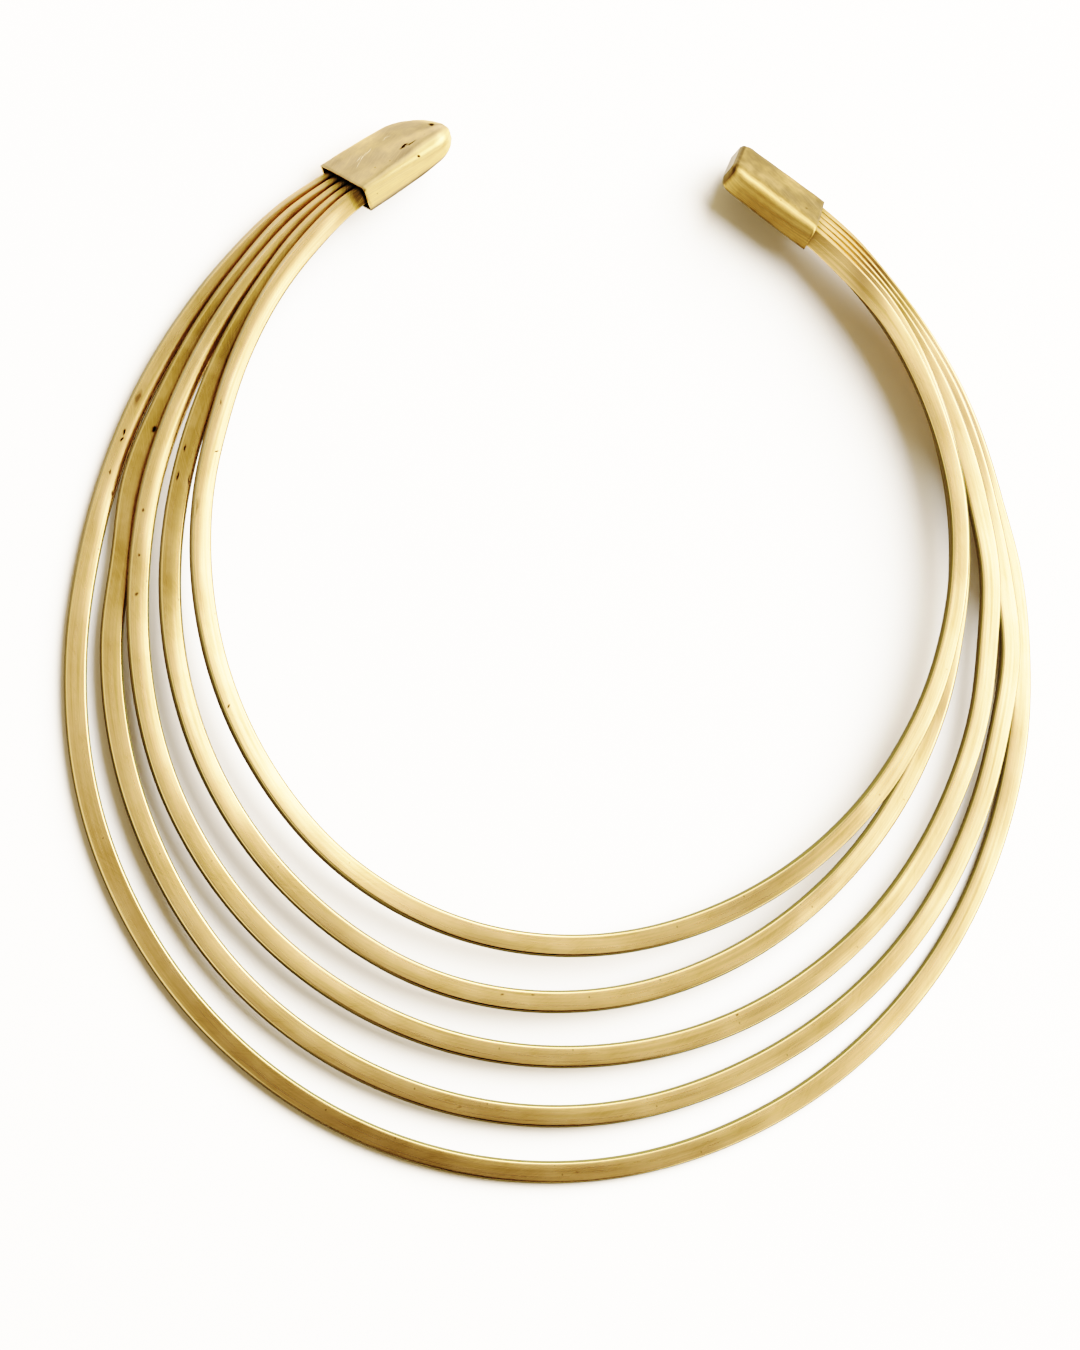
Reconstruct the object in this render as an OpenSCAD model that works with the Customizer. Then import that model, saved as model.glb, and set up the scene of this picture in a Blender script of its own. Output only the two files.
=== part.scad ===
// Open collar choker: five flat brass bars bent round the neck, with a hollow folded cap on each end.
// The front of the collar faces -Y and the two caps are at the back, +Y. The collar lies flat on Z = 0.

/* [Bars] */
// width of a bar's wide face at the front, mm
bar_w = 3.5; // [2.5:0.1:5]
// width of a bar's wide face inside the caps, mm
bar_end_w = 3.2; // [2:0.1:4.5]
// thickness of a bar, mm
bar_t = 1.45; // [0.8:0.1:2.5]
// chamfer that breaks each long edge of a bar, mm
edge_break = 0.22; // [0.05:0.01:0.5]
// angle from the front where the left ends of the bars are, degrees
left_end = 155; // [150:0.5:159]
// angle from the front where the right ends of the bars are, degrees
right_end = 154; // [150:0.5:157]

/* [Caps] */
// thickness of the caps' sheet, mm
sheet = 0.4; // [0.3:0.05:1]
// length of the left cap, mm
left_cap_l = 18.4; // [14:0.1:24]
// length of the right cap, mm
right_cap_l = 16.5; // [14:0.1:24]

/* [Placing] */
// distance of the neck's centre from the middle of the collar's width, mm
neck_x = 3.75; // [-10:0.05:10]
// distance of the neck's centre from the middle of the collar's depth, mm
neck_y = 13.35; // [-20:0.05:20]
// lift of all heights above the surface that the collar lies on, mm
lift = -0.04; // [-3:0.01:3]

/* [Hidden] */
brass = [0.79, 0.66, 0.38];
cap_brass = [0.78, 0.70, 0.49];
// spacing of the rings of points along a bar, degrees
ring_step = 2.75;
// length by which a cap's hollow passes its mouth, mm
past_mouth = 3;
// slants of the left and right mouths, across the stack and across the width, mm per mm
left_slants = [0.2, 0];
right_slants = [-0.05, 0.14];
// share of a cap's length over which the slant of its mouth fades
slant_share = 0.44;
// length over which a step is measured to find a bar's direction, degrees
look_ahead = 0.5;

// angle from the front (positive to +X), then the radius of bars 1 to 5 about the neck's centre
radius_rows = [
    [-156, 68.3, 69.4, 70.5, 71.6, 72.7],
    [-150, 67.3, 68.4, 69.5, 70.6, 71.7],
    [-145, 67.1, 68.2, 69.3, 70.45, 71.6],
    [-138, 66.1, 67.5, 69.0, 70.6, 72.0],
    [-130, 65.0, 66.4, 68.5, 70.1, 72.1],
    [-120, 63.5, 65.6, 68.3, 70.1, 72.7],
    [-110, 62.2, 65.1, 68.5, 70.6, 73.8],
    [-100, 61.6, 65.1, 69.2, 72.0, 75.3],
    [-90, 61.1, 65.5, 70.0, 72.6, 77.5],
    [-80, 60.7, 66.1, 71.2, 75.2, 80.5],
    [-60, 60.3, 67.4, 74.2, 79.9, 86.8],
    [-40, 60.2, 68.2, 76.0, 83.8, 91.5],
    [-20, 59.6, 68.5, 76.5, 85.4, 93.9],
    [0, 58.7, 67.2, 75.8, 84.9, 93.5],
    [20, 57.9, 65.1, 74.5, 82.2, 90.2],
    [40, 57.7, 62.9, 72.1, 78.8, 85.1],
    [60, 58.0, 61.1, 69.1, 74.2, 78.8],
    [70, 58.4, 60.4, 67.7, 72.0, 75.8],
    [80, 58.8, 59.9, 66.1, 70.5, 72.9],
    [90, 59.4, 60.0, 65.5, 68.1, 70.5],
    [100, 60.05, 60.5, 64.5, 66.6, 68.3],
    [115, 60.85, 61.6, 64.1, 65.9, 67.2],
    [130, 61.9, 63.1, 64.3, 65.5, 66.7],
    [140, 62.65, 63.8, 64.95, 66.1, 67.25],
    [146, 63.2, 64.3, 65.4, 66.5, 67.6],
    [154, 63.95, 65.05, 66.15, 67.25, 68.35]];

// angle from the front, then the height of the middle of bars 1 to 5
height_rows = [
    [-156, 7.9, 6.8, 5.7, 4.6, 3.5],
    [-150, 7.9, 6.8, 5.7, 4.6, 3.5],
    [-145, 7.9, 6.75, 5.6, 4.45, 3.3],
    [-138, 7.9, 6.7, 5.4, 4.1, 2.8],
    [-130, 7.8, 6.45, 5.15, 3.8, 2.4],
    [-120, 7.5, 6.15, 4.8, 3.35, 1.9],
    [-110, 7.1, 5.8, 4.5, 3.0, 1.45],
    [-100, 6.7, 5.4, 4.2, 2.7, 1.15],
    [-90, 6.5, 5.2, 4.0, 2.5, 1.15],
    [-80, 6.2, 5.0, 3.9, 2.5, 1.3],
    [-60, 5.8, 4.8, 3.8, 2.7, 1.5],
    [-40, 5.4, 4.5, 3.6, 2.7, 1.6],
    [-20, 5.0, 4.2, 3.3, 2.4, 1.4],
    [0, 4.9, 4.0, 3.1, 2.1, 1.1],
    [20, 5.2, 4.1, 3.0, 1.9, 0.9],
    [40, 5.9, 4.3, 3.3, 2.1, 0.9],
    [60, 6.9, 4.8, 3.9, 2.5, 1.0],
    [70, 7.2, 5.2, 4.3, 2.75, 1.0],
    [80, 7.5, 5.7, 4.7, 3.05, 1.0],
    [90, 7.9, 6.2, 4.9, 2.95, 1.0],
    [100, 8.2, 6.5, 4.8, 2.9, 1.1],
    [115, 8.4, 6.75, 5.1, 3.45, 1.85],
    [130, 8.7, 7.2, 5.65, 4.1, 2.6],
    [140, 8.25, 7.0, 5.75, 4.5, 3.25],
    [146, 8.0, 6.85, 5.7, 4.55, 3.4],
    [154, 7.9, 6.8, 5.7, 4.6, 3.5]];

// angle from the front, then the roll of bars 1 to 5: 0 lies flat, positive turns the wide face to the neck
roll_rows = [
    [-156, 45, 45, 45, 45, 45],
    [-150, 44, 44, 44, 44, 44],
    [-145, 31, 31, 31, 31, 31],
    [-138, 17, 17, 17, 17, 17],
    [-130, 12, 9, 12, 9, 11],
    [-120, 9, 2, 7, 1, 5],
    [-110, 9, -2, 7, -3, 3],
    [-100, 10, -1, 7, -4, 1],
    [-90, 10, 4, 6, -4, -3],
    [-80, 11, 8, 6, -2, -6],
    [-60, 10, 9, 6, -2, -8],
    [-40, 8, 1, 2, -4, -9],
    [-20, 5, 2, -1, -5, -9],
    [0, 1, 1, 0, -3, -6],
    [20, -2, -2, -2, -3, -4],
    [40, -4, -5, -5, -5, -5],
    [60, -6, -8, -8, -8, -8],
    [70, -6, -9, -9, -9, -9],
    [80, -5, -9, -9, -9, -9],
    [90, -3, -8, -8, -8, -8],
    [100, -1, -6, -6, -6, -6],
    [115, 1, -2, -2, -2, -2],
    [130, 7, 7, 7, 7, 7],
    [140, 29, 29, 29, 29, 29],
    [146, 42, 42, 42, 42, 42],
    [154, 45, 45, 45, 45, 45]];

// angle from the front, then how far bars 1 to 5 have narrowed from bar_w (0) to bar_end_w (1)
narrow_rows = [
    [-156, 0.6, 0.6, 0.6, 0.6, 0.6],
    [-140, 0.6, 0.6, 0.6, 0.6, 0.6],
    [-120, 1, 1, 1, 1, 1],
    [-100, 0.6, 0.6, 0.6, 0.6, 0.6],
    [-80, 0, 0, 0, 0, 0],
    [0, 0, 0, 0, 0, 0],
    [60, 0.3, 0, 0, 0, 0],
    [85, 1, 0, 0, 0, 0],
    [115, 1.2, 0, 0, 0, 0],
    [130, 1, 0.6, 0.6, 0.6, 0.6],
    [154, 1, 1, 1, 1, 1]];

// row in which angle a falls
function row_of(rows, a, i = 0) = (i >= len(rows) - 2 || a < rows[i + 1][0]) ? i : row_of(rows, a, i + 1);

// slope of column c at row i, from its two neighbours
function slope(rows, c, i) =
    let (lo = max(i - 1, 0), hi = min(i + 1, len(rows) - 1))
    (rows[hi][c] - rows[lo][c]) / (rows[hi][0] - rows[lo][0]);

// smooth value of column c at angle a
function smooth(rows, c, a) =
    let (i = row_of(rows, a), span = rows[i + 1][0] - rows[i][0], t = (a - rows[i][0]) / span)
    rows[i][c] * (1 + 2 * t) * pow(1 - t, 2) + rows[i + 1][c] * (3 - 2 * t) * t * t
    + slope(rows, c, i) * span * t * pow(1 - t, 2) - slope(rows, c, i + 1) * span * t * t * (1 - t);

// middle of bar k at angle a
function middle(k, a) =
    let (r = smooth(radius_rows, k, a))
    [neck_x + r * sin(a), neck_y - r * cos(a), smooth(height_rows, k, a) + lift];

// level direction across a bar, away from the neck
function outward(k, a) =
    let (d = middle(k, a + look_ahead) - middle(k, a - look_ahead), n = norm([d[0], d[1]]))
    [d[1] / n, -d[0] / n, 0];

// direction square to both the bar and its level direction, upward
function upward(k, a) =
    let (d = middle(k, a + look_ahead) - middle(k, a - look_ahead))
    cross(outward(k, a), d / norm(d));

// eight corners of a flat section of width w and thickness t with broken edges
function flat_section(w, t, b) = [
    [-w / 2 + b, t / 2], [w / 2 - b, t / 2], [w / 2, t / 2 - b], [w / 2, b - t / 2],
    [w / 2 - b, -t / 2], [b - w / 2, -t / 2], [-w / 2, b - t / 2], [-w / 2, t / 2 - b]];

// ring of points round bar k at angle a
function bar_ring(k, a) =
    let (p = middle(k, a), s = outward(k, a), u = upward(k, a), q = smooth(roll_rows, k, a),
         w = bar_w + (bar_end_w - bar_w) * smooth(narrow_rows, k, a))
    [for (c = flat_section(w, bar_t, edge_break))
        p + c[0] * (s * cos(q) + u * sin(q)) + c[1] * (u * cos(q) - s * sin(q))];

// solid through rings of n points each, closed at both ends
module loft(rings) {
    n = len(rings[0]);
    m = len(rings);
    sides = [for (i = [0:m - 2]) for (j = [0:n - 1]) for (f = [
        [i * n + j, i * n + (j + 1) % n, (i + 1) * n + j],
        [i * n + (j + 1) % n, (i + 1) * n + (j + 1) % n, (i + 1) * n + j]]) f];
    first = [for (j = [1:n - 2]) [0, j + 1, j]];
    last = [for (j = [1:n - 2]) [(m - 1) * n, (m - 1) * n + j, (m - 1) * n + j + 1]];
    polyhedron(points = [for (r = rings) for (p = r) p], faces = concat(sides, first, last));
}

// bar k, bent and twisted from the left end to the right end
module bar(k) {
    span = left_end + right_end;
    steps = ceil(span / ring_step);
    color(brass) loft([for (i = [steps:-1:0]) bar_ring(k, i * span / steps - left_end)]);
}

module bar_1() {
    bar(1);
}

module bar_2() {
    bar(2);
}

module bar_3() {
    bar(3);
}

module bar_4() {
    bar(4);
}

module bar_5() {
    bar(5);
}

// corner of a cap's section: quarter turn number q about [x, y] with radius r
function corner(x, y, r, q, n = 4) = [for (i = [0:n]) [x + r * cos(90 * (q + i / n)), y + r * sin(90 * (q + i / n))]];

// rounded box section between a0 and a1 across the stack and b0 and b1 across the width, with edge radius
// r and fold radius f
function box_section(a0, a1, b0, b1, r, f) = concat(
    corner(a1 - f, b1 - f, f, 0), corner(a0 + r, b1 - r, r, 1),
    corner(a0 + r, b0 + r, r, 2), corner(a1 - r, b0 + r, r, 3));

// left cap: share of its length from the mouth, outer and inner edge across the stack, low and high edge
// across the width, radius of the edges, radius of the fold at the inner high edge
left_cap_rows = [
    [0, -4.9, 4.9, -2.5, 2.5, 0.4, 0.5],
    [0.22, -4.8, 4.9, -2.5, 2.5, 0.4, 0.8],
    [0.44, -4.6, 4.85, -2.5, 2.5, 0.45, 1.1],
    [0.6, -4.35, 4.8, -2.45, 2.45, 0.5, 1.4],
    [0.72, -3.6, 4.7, -2.4, 2.4, 0.7, 1.6],
    [0.81, -2.6, 4.6, -2.35, 2.3, 0.9, 1.7],
    [0.87, -1.7, 4.4, -2.2, 2.2, 1.1, 1.7],
    [0.93, -0.6, 3.9, -1.9, 1.9, 1.2, 1.6],
    [0.98, 0.5, 3.0, -1.4, 1.4, 1.0, 1.1],
    [1, 1.2, 2.2, -0.7, 0.7, 0.4, 0.4]];

// right cap, with the same columns
right_cap_rows = [
    [0, -4.5, 4.5, -2.2, 2.2, 0.35, 1.0],
    [0.56, -4.5, 4.5, -2.15, 2.15, 0.35, 1.0],
    [0.82, -4.45, 4.4, -2.1, 2.1, 0.4, 1.5],
    [0.91, -4.45, 4.2, -2.1, 2.1, 0.4, 1.5],
    [0.965, -4.4, 3.7, -2.05, 1.9, 0.6, 1.5],
    [0.985, -4.3, 3.2, -1.7, 1.7, 0.5, 1.3],
    [1, -4.1, 2.7, -1.3, 1.3, 0.4, 1.0]];

// solid of a cap's rows, grown by g (negative for the hollow); the mouth is cut at two slants, across the
// stack and across the width, which fade along the cap
module cap_body(rows, length, g, slants) {
    last = len(rows) - 1;
    loft([for (i = [last:-1:0])
        let (r = rows[i], x = g < 0 && i == 0 ? -past_mouth : r[0] * (length + g),
             fade = max(0, 1 - r[0] / slant_share))
        [for (c = box_section(r[1] - g, r[2] + g, r[3] - g, r[4] + g, max(r[5] + g, 0.1), max(r[6] + g, 0.1)))
            [x + fade * (slants[0] * c[0] + slants[1] * c[1]), c[0], c[1]]]]);
}

// hollow cap with an open mouth and a closed tip
module cap(rows, length, slants) {
    color(cap_brass) difference() {
        cap_body(rows, length, 0, slants);
        cap_body(rows, length, -sheet, slants);
    }
}

// moves a cap so that its mouth is at angle a, radius r and height h, turned by turn degrees from the
// bars' direction there and rolled by q degrees
module at_end(a, r, h, turn, q, side) {
    translate([neck_x + r * sin(a), neck_y - r * cos(a), h + lift])
        rotate([0, 0, a + turn])
            mirror([side < 0 ? 1 : 0, 0, 0])
                rotate([90 - q, 0, 0])
                    children();
}

module cap_left() {
    at_end(-146.2, 69.4, 5.6, 0.8, 45, -1) cap(left_cap_rows, left_cap_l, left_slants);
}

module cap_right() {
    at_end(146.1, 65.4, 5.75, -0.7, 45, 1) cap(right_cap_rows, right_cap_l, right_slants);
}

bar_1();
bar_2();
bar_3();
bar_4();
bar_5();
cap_left();
cap_right();
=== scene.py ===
# %% [markdown]
# # An open collar of five brass bars
# The collar is stiff. Five flat bars are bent round the neck, fan out at the front and twist on edge at the
# back, where a folded sheet cap holds each bundle of ends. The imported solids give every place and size, so
# the lesson here is how to give plain solids a maker's surface.

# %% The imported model
import math
from collections import namedtuple

import bpy
import numpy as np
from mathutils import Matrix, Vector


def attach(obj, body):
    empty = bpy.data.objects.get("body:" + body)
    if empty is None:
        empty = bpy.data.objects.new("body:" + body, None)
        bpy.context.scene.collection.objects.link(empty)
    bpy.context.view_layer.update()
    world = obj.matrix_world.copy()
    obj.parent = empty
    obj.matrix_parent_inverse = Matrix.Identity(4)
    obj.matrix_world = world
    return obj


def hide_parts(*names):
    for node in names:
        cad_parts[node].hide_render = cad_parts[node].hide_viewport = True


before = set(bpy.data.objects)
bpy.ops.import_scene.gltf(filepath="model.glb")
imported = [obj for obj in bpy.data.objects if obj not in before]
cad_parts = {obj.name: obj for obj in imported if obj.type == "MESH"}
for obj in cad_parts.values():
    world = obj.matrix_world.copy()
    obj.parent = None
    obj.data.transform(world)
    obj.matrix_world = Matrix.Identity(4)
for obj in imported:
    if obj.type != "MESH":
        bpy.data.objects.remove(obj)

MM = 0.001
scene = bpy.context.scene
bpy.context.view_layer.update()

# %% [markdown]
# ## Colours
# A hex colour is what the eye reads on a screen. The shader adds light, so it needs linear numbers. One
# function turns one into the other.


# %% Hex to linear
def linear(hex_colour):
    """Linear red, green, blue and alpha of an sRGB colour such as E8BA80."""
    parts = [int(hex_colour[i:i + 2], 16) / 255 for i in (0, 2, 4)]
    return tuple(c / 12.92 if c <= 0.04045 else ((c + 0.055) / 1.055) ** 2.4 for c in parts) + (1.0,)


print("middle brass is", [round(c, 3) for c in linear("E8BA80")])

# %% [markdown]
# ## The camera
# The collar lies on a table and is seen from almost straight above, from a little to the left and the
# front. A long lens, 0.8 m away, keeps the near and far bars in proportion. Only a small shift is needed to
# frame it.

# %% Camera
NECK = Vector((3.75, 13.35, 5.0)) * MM       # middle of the neck, halfway up the bars
DISTANCE = 800 * MM
LEAN_LEFT, LEAN_FRONT = math.radians(14), math.radians(4)
PX_PER_M = 1 / (0.155 * MM) * 0.9992         # how large a metre shows in the 1080 x 1350 picture
NECK_PX = (588.3, 566.1)                     # where the middle of the neck shows
WIDE, HIGH = 1080, 1350

back = Vector((-math.sin(LEAN_LEFT), -math.sin(LEAN_FRONT), 0))
back.z = math.sqrt(1 - back.length_squared)
right = Vector((0, 1, 0)).cross(back).normalized()
up = back.cross(right)
lens = bpy.data.cameras.new("camera")
lens.sensor_width = 36
lens.lens = DISTANCE * PX_PER_M / HIGH * lens.sensor_width
lens.shift_x = (WIDE / 2 - NECK_PX[0]) / HIGH
lens.shift_y = (NECK_PX[1] - HIGH / 2) / HIGH
lens.clip_start, lens.clip_end = 0.05, 20
camera = bpy.data.objects.new("camera", lens)
camera.matrix_world = (Matrix.Translation(NECK + back * DISTANCE)
                       @ Matrix((right, up, back)).transposed().to_4x4())
scene.collection.objects.link(camera)
scene.camera = camera
print("lens, mm:", round(lens.lens, 1), "shift:", round(lens.shift_x, 3), round(lens.shift_y, 3))

# %% [markdown]
# ## A node at a time
# Every material below is a small graph. One helper adds a node, sets its choices, and either fills or links
# each input, so a graph reads as a list of what feeds what.


# %% Node helper
def add(tree, kind, inputs=None, **choices):
    """A new node of this kind, with its choices set and its inputs filled or linked."""
    made = tree.nodes.new(kind)
    for name, value in choices.items():
        setattr(made, name, value)
    for name, value in (inputs or {}).items():
        if isinstance(value, bpy.types.NodeSocket):
            tree.links.new(value, made.inputs[name])
        else:
            made.inputs[name].default_value = value
    return made


def new_material(name):
    """A new material and its graph, still empty."""
    material = bpy.data.materials.new(name)
    material.use_nodes = True
    tree = material.node_tree
    tree.nodes.clear()
    return material, tree


# %% [markdown]
# ## The table
# A sheet of warm white card, matt, wide enough that its edge never shows. Out of the lamp's reach only the
# warm room and its own faint glow light it, so the shadows beside the bars are cream, not grey.

# %% Floor
CARD_HALF = 3.0        # from the middle of the card to its edge, metres
CARD_LOW = 0.2 * MM    # the card lies this far under the part, so the two never share a plane
mat_floor, tree = new_material("warm_white_card")
shader = add(tree, "ShaderNodeBsdfPrincipled",
             {"Base Color": linear("BFAA85"), "Roughness": 0.9,
              "Emission Color": linear("FFE6C0"), "Emission Strength": 0.06})
add(tree, "ShaderNodeOutputMaterial", {"Surface": shader.outputs[0]})
mesh = bpy.data.meshes.new("table_top")
mesh.from_pydata([(x * CARD_HALF, y * CARD_HALF, 0) for x, y in ((-1, -1), (1, -1), (1, 1), (-1, 1))],
                 [], [(0, 1, 2, 3)])
floor = bpy.data.objects.new("table_top", mesh)
floor.location.z = -CARD_LOW
floor.data.materials.append(mat_floor)
scene.collection.objects.link(floor)
print("card, metres across:", 2 * CARD_HALF)

# %% [markdown]
# ## Light
# Metal shows little of its own: it shows the room. Bright windows lie to the right, a pale wall behind, and
# dark cloth hangs overhead and in front. Each is a round patch of the room that fades out at its rim, so a
# mirrored window has the soft edge that brushed metal gives it. The real room doesn't show, so these places
# were found by comparing renders with the picture.

# %% The room
ROOM = 0.72           # brightness of the walls and ceiling
# each bright or dark place: azimuth and elevation of its middle, angle of its full part, angle of its rim,
# added brightness; azimuth is counted from the right, +X, towards the back, +Y
PLACES = [
    (5, 36, 22, 29, 3.4),           # the window on the right
    (46, 32, 18, 30, 2.2),          # the window behind on the right
    (-42, 8, 12, 26, 0.9),          # low light from the front right
    (85, 40, 15, 38, 1.4),          # the pale wall behind
    (-68, 63, 12, 25, -0.52),       # dark cloth, overhead towards the front
    (-135, 76, 4, 15, -0.25),       # a smaller dark patch, nearly straight above
    (-90, 22, 27, 37, -0.6),        # dark cloth in front
    (-118, 8, 12, 22, -0.1),        # its fainter lower corner
    (-140, 45, 15, 32, 0.3),        # a pale wall at the front left
]


def direction(azimuth, elevation):
    """Unit vector to a place of the room, from two angles in degrees."""
    a, e = math.radians(azimuth), math.radians(elevation)
    return Vector((math.cos(a) * math.cos(e), math.sin(a) * math.cos(e), math.sin(e)))


world = bpy.data.worlds.new("white_room")
world.use_nodes = True
tree = world.node_tree
tree.nodes.clear()
where = add(tree, "ShaderNodeTexCoord").outputs["Generated"]
total = add(tree, "ShaderNodeValue").outputs[0]
total.default_value = ROOM
for azimuth, elevation, full, rim, gain in PLACES:
    near = add(tree, "ShaderNodeVectorMath", {0: where, 1: direction(azimuth, elevation)},
               operation="DOT_PRODUCT")
    part = add(tree, "ShaderNodeMapRange",
               {"Value": near.outputs["Value"], "From Min": math.cos(math.radians(rim)),
                "From Max": math.cos(math.radians(full)), "To Min": 0.0, "To Max": gain},
               interpolation_type="SMOOTHSTEP")
    total = add(tree, "ShaderNodeMath", {0: total, 1: part.outputs[0]}, operation="ADD").outputs[0]
wall = add(tree, "ShaderNodeBackground", {"Color": linear("FFFCF6"), "Strength": total})
add(tree, "ShaderNodeOutputWorld", {"Surface": wall.outputs[0]})
scene.world = world
print("room:", len(PLACES), "bright or dark places")

# %% [markdown]
# ## The window's light
# A patch of the room is too weak to light the table evenly, so the windows on the right are also one wide
# area light. It gives the table its brightness and draws the soft shadows that fall to the lower left. The
# metal doesn't mirror it, because the room's own patches already stand in for it.

# %% The key light
KEY_PLACE = (38, 46)            # azimuth and elevation of its middle, degrees
KEY_FAR, KEY_WIDE = 2.0, 2.4    # metres
lamp = bpy.data.lights.new("window_key", "AREA")
lamp.shape, lamp.size = "DISK", KEY_WIDE
lamp.energy, lamp.color = 620.0, linear("B3C9FF")[:3]
key = bpy.data.objects.new("window_key", lamp)
key.location = direction(*KEY_PLACE) * KEY_FAR
key.rotation_euler = key.location.to_track_quat("Z", "Y").to_euler()
key.visible_glossy = False
scene.collection.objects.link(key)
print("key light, watts:", lamp.energy)

# %% [markdown]
# ## A print-like tone
# The collar is shown as on a bright printed page: the shadows are rich and the highlights run out to cream.
# One even curve on all three channels does that. It also pales brass where it is brightest, as film does.

# %% Tone
REACH = 3.0           # scene brightness that prints as pure white
TONE = [(0.03, 0.008), (0.06, 0.03), (0.09, 0.07), (0.12, 0.125), (0.18, 0.225), (0.24, 0.315), (0.36, 0.45),
        (0.5, 0.56), (0.75, 0.7), (1.0, 0.8), (1.5, 0.91), (2.0, 0.96), (2.5, 0.985)]
look = scene.view_settings
look.view_transform = "Standard"
look.use_curve_mapping = True
look.curve_mapping.white_level = (REACH,) * 3
curve = look.curve_mapping.curves[3]
for x, y in TONE:
    curve.points.new(x / REACH, y)
look.curve_mapping.update()
print("tone points:", len(curve.points))

# %% [markdown]
# ## From the solids' rings to smooth bars
# Each packed bar is a chain of eight-cornered rings. The script reads them back: the middle of a ring, the
# direction of its width and of its thickness, and both sizes. Smooth curves through those give as many new
# rings as wanted, with rounded edges. The middle of each bar stays where the solid's is, and a roll moves its
# edges by up to about 0.3 mm.

# %% Reading the rings
LEFT_END, RIGHT_END = 155, 154     # how far a bar reaches round the neck each way, degrees from the front
ARC = LEFT_END + RIGHT_END
RING_STEP = 2.75                   # about how far apart the solids' rings are, degrees
STEPS = math.ceil(ARC / RING_STEP)


def rings_of(name):
    """A row for each ring of a packed bar: middle, width direction, thickness direction, width, thickness."""
    found = {tuple(round(c, 7) for c in v.co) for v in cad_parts[name].data.vertices}
    points = np.array(sorted(found))
    flat = points[:, :2] - np.array(NECK[:2])
    angle = np.degrees(np.arctan2(flat[:, 0], -flat[:, 1]))
    ring = np.rint((angle + LEFT_END) / (ARC / STEPS)).astype(int)
    rows = []
    for i in range(STEPS + 1):
        own = points[ring == i]
        middle = own.mean(0)
        axes = np.linalg.svd(own - middle)[2]
        outward = np.append(middle[:2] - np.array(NECK[:2]), 0)
        width = axes[0] * np.sign(axes[0] @ outward)
        thick = axes[1] * np.sign(axes[1][2])
        rows.append(np.concatenate([middle, width, thick, [np.ptp(own @ width), np.ptp(own @ thick)]]))
    return np.array(rows)


rings = {f"bar_{k}": rings_of(f"bar_{k}") for k in range(1, 6)}
print("rings in a bar:", len(rings["bar_1"]), "width, mm:", round(rings["bar_5"][STEPS // 2][9] / MM, 2))

# %% [markdown]
# ## Smooth values
# Forms and wear change slowly along a bar. A short table gives a value at a few angles, and the bar takes
# the values in between. The rings themselves are joined by a smooth curve, so that no corner shows in a
# highlight.


# %% Between the rows
def between(rows, u):
    """Smooth value of every column at row number u."""
    i = int(min(u, len(rows) - 1.000001))
    t = u - i
    a, b, c, d = (rows[min(max(i + j, 0), len(rows) - 1)] for j in (-1, 0, 1, 2))
    return b + t * ((c - a) / 2 + t * (a - 2.5 * b + 2 * c - d / 2 + t * (1.5 * (b - c) + (d - a) / 2)))


def along_table(table, angle):
    """Values of a table at an angle, straight between its rows."""
    return np.array([np.interp(angle, table[:, 0], table[:, c]) for c in range(1, table.shape[1])])


print("bar 5 halfway along, mm:", [round(c / MM, 1) for c in between(rings["bar_5"], STEPS / 2)[:3]])

# %% [markdown]
# ## Wear and painted shade along the bars
# Hands and cloth polish the collar where it stands free, at the front. Where bars lie against each other,
# at both ends, they are painted darker: near black towards the mouths of the caps, painted shade where little
# light gets in, and brown in the valley beside each inner neighbour, painted shade with some grime. Elsewhere
# some bars are painted a little darker in patches. The narrow sides are seldom polished and keep an olive
# patina, thinner near the caps. The tables were matched to the picture, and they are one guess among several
# that would look alike.

# %% Wear tables
# angle from the front, then how much darker bars 1 to 5 are painted: 1 is brown, 2 is black; the black near
# both ends is painted shade in the mouths of the caps
TARNISH_AND_SHADE = np.array([
    (-156, 2, 2, 2, 2, 2),
    (-145.8, 1.8, 2, 2, 2, 2),
    (-144.9, 0.4, 1, 1, 1, 1),
    (-143.5, 0.35, 0.2, 0.2, 0.2, 0.2),
    (-141, 0, 0.15, 0.15, 0.1, 0.1),
    (-138, 0, 0.1, 0.1, 0, 0),
    (-130, 0, 0.5, 0.15, 0.3, 0.15),
    (-120, 0, 0.9, 0.1, 0.9, 0.15),
    (-105, 0, 0.6, 0.1, 0.7, 0.1),
    (-90, 0, 0.6, 0.2, 0.6, 0),
    (-75, 0, 0.05, 0.1, 0.1, 0),
    (-50, 0, 0.05, 0.1, 0, 0.25),
    (-20, 0, 0, 0, 0, 0.4),
    (0, 0, 0, 0, 0.05, 0.1),
    (20, 0, 0, 0, 0, 0),
    (118, 0, 0, 0, 0, 0),
    (124, 0, 0, 0.3, 0.1, 0.1),
    (130, 0, 0.1, 0.75, 0.85, 0.6),
    (140, 0, 0, 0.1, 0.4, 0.3),
    (145, 0.2, 0.2, 0.2, 0.2, 0.2),
    (147, 1.2, 1.2, 1.2, 1.2, 1.2),
    (155, 2, 2, 2, 2, 2)], float)
# angle from the front, then how strong the patina is: outer narrow sides, rest of bar 1, rest of bars 2 to 5
PATINA = np.array([
    (-156, 0.35, 1, 1),
    (-140, 0.5, 1, 1),
    (-125, 0.85, 1, 1),
    (-95, 0.9, 1, 1),
    (-70, 1, 1, 1),
    (108, 1, 1, 1),
    (118, 0.6, 1, 0.4),
    (124, 0.5, 1, 0.3),
    (136, 0.45, 1, 0.3),
    (138, 0.4, 0.5, 0.3),
    (155, 0.3, 0.5, 0.3)], float)
# angle from the front, then how much darker bars 2 to 5 are painted beside their inner neighbour: painted
# shade of the valley, with some grime
VALLEY_SHADE_AND_DIRT = np.array([(-156, 1.6), (-143, 1.4), (-136, 0.9), (-128, 0.5), (-118, 0.3), (-105, 0), (138, 0),
                   (144, 0.3), (155, 0.6)], float)
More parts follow.
